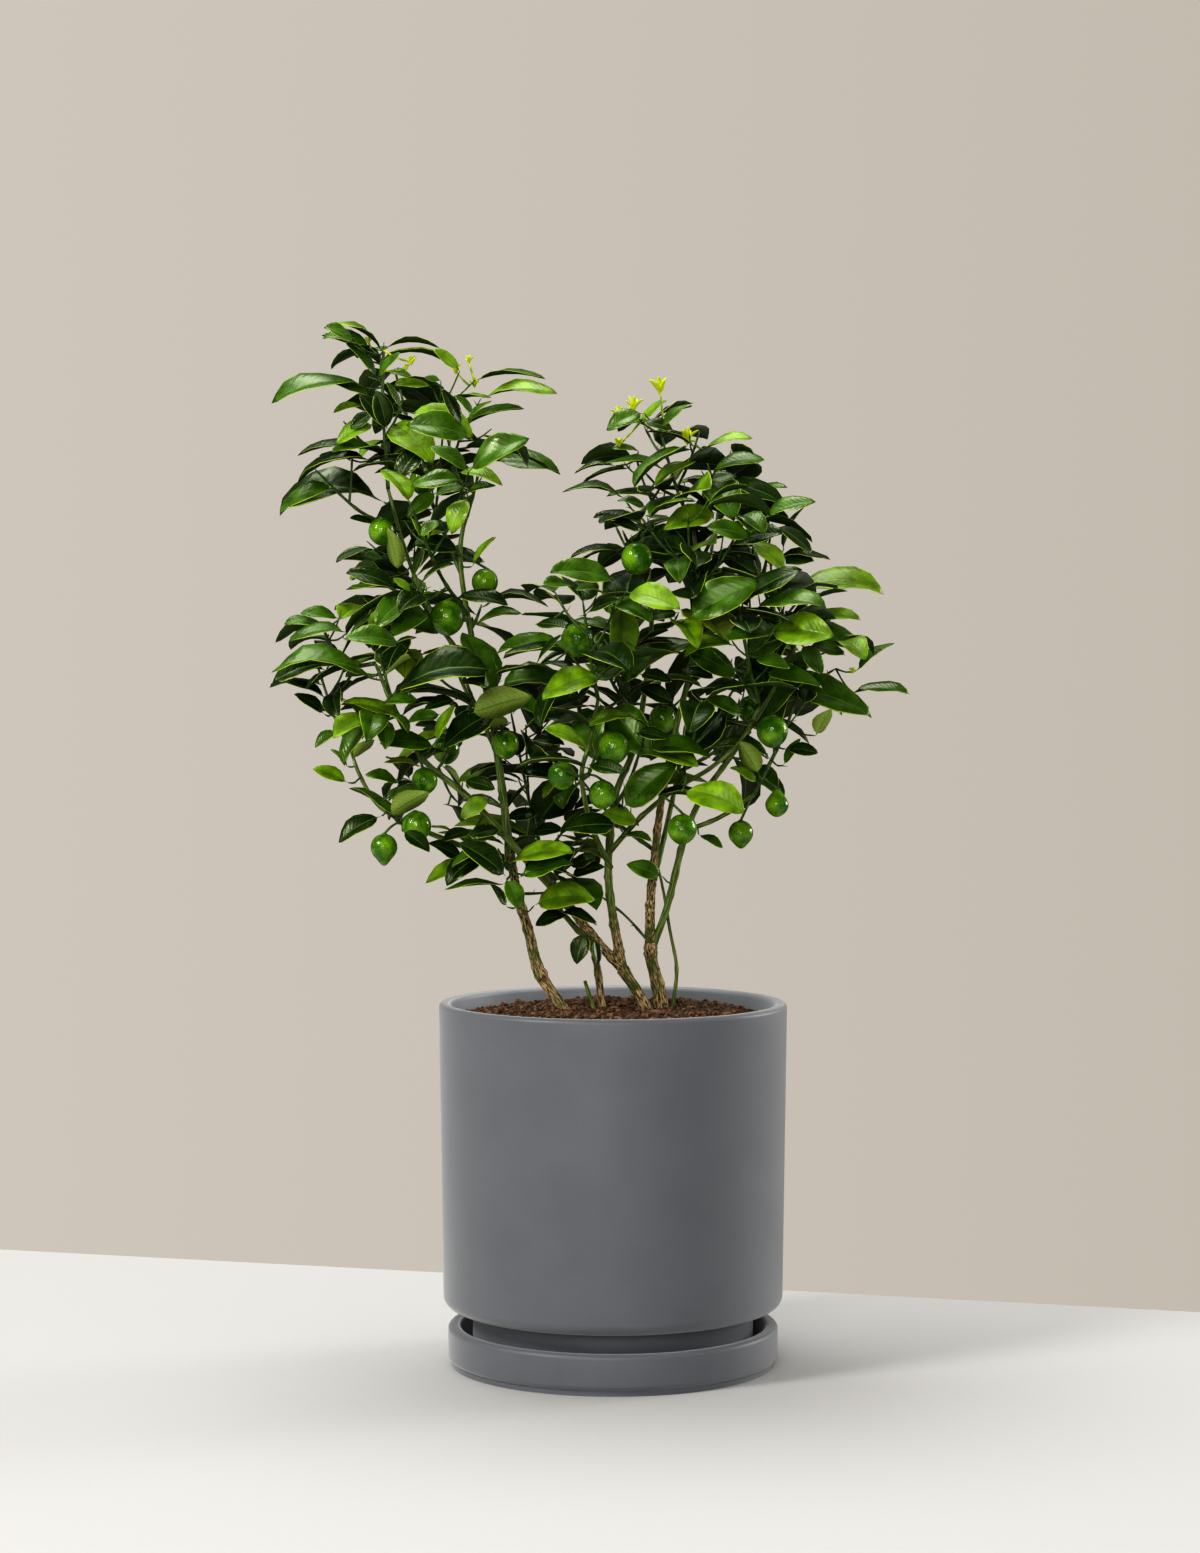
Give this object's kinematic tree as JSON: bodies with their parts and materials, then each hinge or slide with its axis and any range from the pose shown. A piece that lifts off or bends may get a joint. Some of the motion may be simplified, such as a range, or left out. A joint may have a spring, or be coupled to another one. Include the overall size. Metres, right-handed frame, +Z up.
{
  "type": "potted key lime tree",
  "caption": "Key lime tree of several slender stems with leafy, fruit-bearing boughs, in a straight-sided ceramic pot that stands in a matching round saucer.",
  "frame": {"origin": "centre of the saucer's flat underside, which the plant stands on", "axes": "+Z up, -Y towards the front that the picture shows, +X to the picture's right"},
  "size_m": [0.4914, 0.3388, 0.7791],
  "materials": {
    "grey_ceramic": "matt blue-grey glaze",
    "potting_soil": "rough, crumbly, dark brown",
    "bark": "tan fissured bark low down, green and smooth higher up",
    "foliage": "glossy dark green leaves and green fruit"
  },
  "bodies": {
    "root": {"saucer": "grey_ceramic", "pot": "grey_ceramic", "soil": "potting_soil", "stem_left": "bark", "stem_centre": "bark", "stem_right": "bark", "stem_rear": "bark", "stem_thin": "bark", "stub": "bark", "leader_right": "bark", "leader_left": "bark", "centre": "bark", "sweep_left": "bark", "low_left": "bark", "centre_front": "bark", "right_main": "bark", "right_side": "bark", "cross": "bark", "low_right": "bark", "rear_left": "bark", "rear_right": "bark", "left_crown_a": "foliage", "left_crown_b": "foliage", "left_crown_rear": "foliage", "left_shoulder_a": "foliage", "left_shoulder_b": "foliage", "left_mid_a": "foliage", "left_mid_front": "foliage", "left_mid_b": "foliage", "left_low_a": "foliage", "left_low_cluster": "foliage", "left_low_mid": "foliage", "left_skirt": "foliage", "left_waist_front": "foliage", "left_waist_rear": "foliage", "left_low_rear": "foliage", "foot_front": "foliage", "foot_centre": "foliage", "foot_rear": "foliage", "centre_rosette": "foliage", "centre_low": "foliage", "centre_left": "foliage", "centre_rear": "foliage", "centre_low_b": "foliage", "right_crown_a": "foliage", "right_crown_b": "foliage", "right_crown_c": "foliage", "right_upper_left": "foliage", "right_front": "foliage", "right_upper": "foliage", "right_crown_rear": "foliage", "right_mid": "foliage", "right_far": "foliage", "right_mid_front": "foliage", "right_mid_rear": "foliage", "right_skirt": "foliage", "right_low_front": "foliage", "right_low_rear": "foliage", "foot_leaf": "foliage"}
  },
  "joints": []
}
